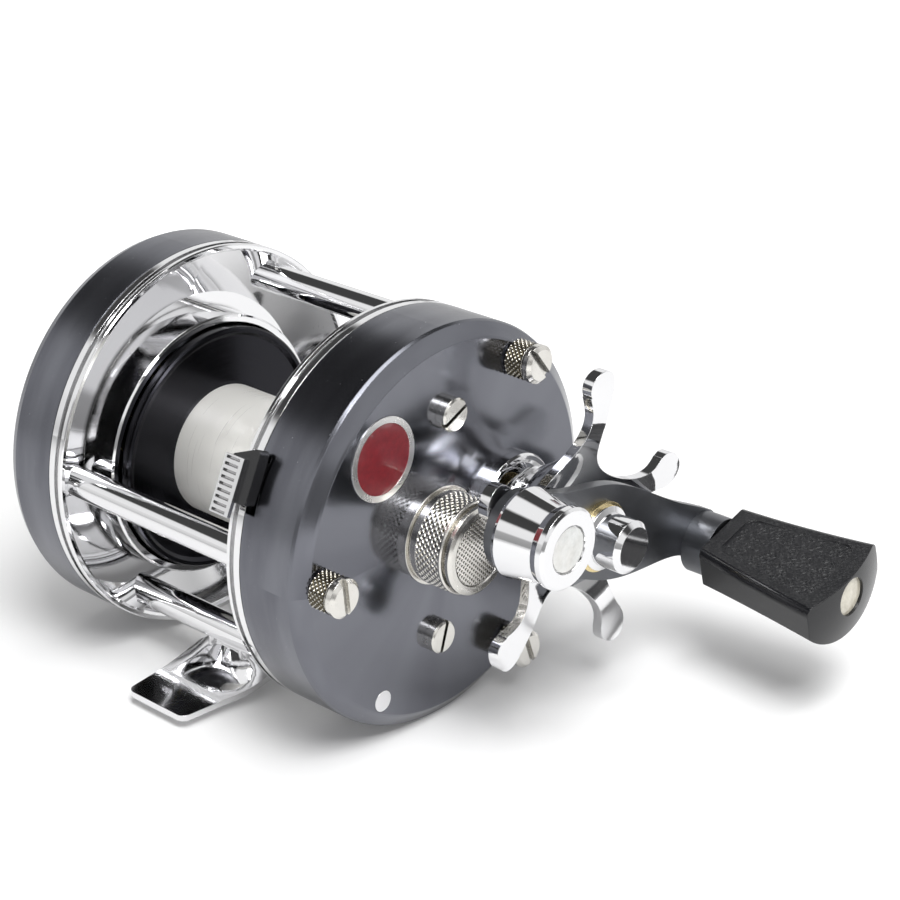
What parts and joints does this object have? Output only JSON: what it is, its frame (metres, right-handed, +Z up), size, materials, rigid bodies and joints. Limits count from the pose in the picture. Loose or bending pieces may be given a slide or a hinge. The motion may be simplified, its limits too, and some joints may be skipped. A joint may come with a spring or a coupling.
{
  "type": "baitcasting reel",
  "caption": "Round baitcasting fishing reel: chrome frame, two grey cups, spool, gear train, star drag, power handle and rod foot.",
  "frame": {"origin": "middle of the foot's underside plane, midway between the two round side plates", "axes": "+X along the spool axle towards the handle, +Y forwards up the rod, +Z up away from the rod"},
  "size_m": [0.1166, 0.0862, 0.066],
  "materials": {
    "chrome_plate": "mirror polished plate",
    "grey_anodised": "satin anodised, slate grey with a faint violet cast",
    "nickel": "warm nickel, knurled where gripped",
    "steel": "machined",
    "brass": "machined",
    "pale_metal": "bright",
    "badge_red": "gloss enamel",
    "silver_arbor": "satin",
    "black_metal": "gloss black",
    "dark_arm": "dark grey satin",
    "black_plastic": "matte",
    "grip_plastic": "moulded grain with smooth borders",
    "cream_plastic": "gloss",
    "pearl": "pearl",
    "drag_fibre": "pressed fibre"
  },
  "bodies": {
    "frame": {"badge_disc": "badge_red", "badge_ring": "pale_metal", "brake_ring": "brass", "bridge_screws": "nickel", "cap_seat_ring": "nickel", "drive_bushing": "brass", "drive_collar": "chrome_plate", "foot": "chrome_plate", "foot_rivets": "chrome_plate", "frame_ring_gear": "chrome_plate", "frame_ring_palm": "chrome_plate", "gear_bridge": "steel", "gear_cup": "grey_anodised", "palm_bearing_cap": "nickel", "palm_cup": "grey_anodised", "palm_cup_screws": "nickel", "pillar_front_low": "chrome_plate", "pillar_rear": "chrome_plate", "pillar_rear_low": "chrome_plate", "pillar_top": "chrome_plate", "spool_bearing_gear": "steel", "spool_bearing_palm": "steel", "yoke_springs": "steel"},
    "spool": {"spool_arbor": "silver_arbor", "spool_flange_palm": "black_metal", "spool_flange_gear": "black_metal", "spool_axle": "steel", "clutch_pin": "steel", "click_wheel": "brass", "brake_carrier": "steel"},
    "brake_upper": {"brake_block_upper": "black_plastic"},
    "brake_lower": {"brake_block_lower": "black_plastic"},
    "click": {"click_slide": "nickel"},
    "pinion_body": {"pinion": "brass"},
    "yoke": {"clutch_yoke": "steel"},
    "button": {"button_slide": "black_plastic", "button_pad": "chrome_plate"},
    "crank": {"drive_shaft": "steel", "main_gear": "brass", "drag_washers": "drag_fibre", "pressure_plates": "steel", "ratchet_wheel": "steel", "handle_sleeve": "steel", "handle_arm": "dark_arm", "handle_washer": "brass", "handle_nut": "chrome_plate", "counterweight": "chrome_plate", "counterweight_disc": "pearl", "knob_spindle": "dark_arm"},
    "star": {"star_wheel": "chrome_plate"},
    "grip_body": {"grip": "grip_plastic", "grip_cap": "cream_plastic"},
    "cap": {"tension_cap": "nickel", "tension_cap_disc": "nickel", "tension_pad": "black_plastic"},
    "screw_top": {"thumb_screw_top": "nickel"},
    "screw_rear": {"thumb_screw_rear": "nickel"},
    "screw_front": {"thumb_screw_front": "nickel"},
    "dog": {"ratchet_dog": "steel"}
  },
  "joints": [
    {"name": "handle_crank", "type": "hinge", "parent": "frame", "child": "crank", "pos_m": [0.045, 0.014, 0.0312], "axis": [1, 0, 0], "continuous": true},
    {"name": "spool_spin", "type": "hinge", "parent": "frame", "child": "spool", "pos_m": [0, -0.0025, 0.0315], "axis": [1, 0, 0], "continuous": true},
    {"name": "button_press", "type": "slide", "parent": "frame", "child": "button", "axis": [0, -0.4384, -0.8988], "range_m": [0, 0.003], "stiffness_N_per_m": 400, "springref_m": -0.0005},
    {"name": "yoke_shift", "type": "slide", "parent": "frame", "child": "yoke", "axis": [1, 0, 0], "range_m": [0, 0.0015], "deforming": ["yoke_springs"]},
    {"name": "pinion_spin", "type": "hinge", "parent": "yoke", "child": "pinion_body", "pos_m": [0.028, -0.0025, 0.0315], "axis": [1, 0, 0], "continuous": true},
    {"name": "star_turn", "type": "hinge", "parent": "crank", "child": "star", "pos_m": [0.045, 0.014, 0.0312], "axis": [1, 0, 0], "range_deg": [-180, 180]},
    {"name": "grip_spin", "type": "hinge", "parent": "crank", "child": "grip_body", "pos_m": [0.07, 0.0412, 0.02004], "axis": [1, 0, 0], "continuous": true},
    {"name": "tension_cap_turn", "type": "hinge", "parent": "frame", "child": "cap", "pos_m": [0.038, -0.0025, 0.0315], "axis": [1, 0, 0], "range_deg": [-180, 180]},
    {"name": "thumb_screw_top_turn", "type": "hinge", "parent": "frame", "child": "screw_top", "pos_m": [0.036, 0.0151, 0.05567], "axis": [1, 0, 0], "continuous": true},
    {"name": "thumb_screw_rear_turn", "type": "hinge", "parent": "frame", "child": "screw_rear", "pos_m": [0.036, -0.02848, 0.0325], "axis": [1, 0, 0], "continuous": true},
    {"name": "thumb_screw_front_turn", "type": "hinge", "parent": "frame", "child": "screw_front", "pos_m": [0.036, 0.01338, 0.00634], "axis": [1, 0, 0], "continuous": true},
    {"name": "click_switch", "type": "slide", "parent": "frame", "child": "click", "axis": [0, 0, -1], "range_m": [0, 0.0022]},
    {"name": "dog_swing", "type": "hinge", "parent": "frame", "child": "dog", "pos_m": [0.031, 0.02409, 0.04412], "axis": [1, 0, 0], "range_deg": [0, 6]},
    {"name": "brake_upper_slide", "type": "slide", "parent": "spool", "child": "brake_upper", "axis": [0, 0, 1], "range_m": [0, 0.0012]},
    {"name": "brake_lower_slide", "type": "slide", "parent": "spool", "child": "brake_lower", "axis": [0, 0, -1], "range_m": [0, 0.0012]}
  ],
  "couplings": [
    {"joint": "spool_spin", "follows": "handle_crank", "ratio": -5},
    {"joint": "pinion_spin", "follows": "handle_crank", "ratio": -5},
    {"joint": "yoke_shift", "follows": "button_press", "ratio": 0.5}
  ]
}
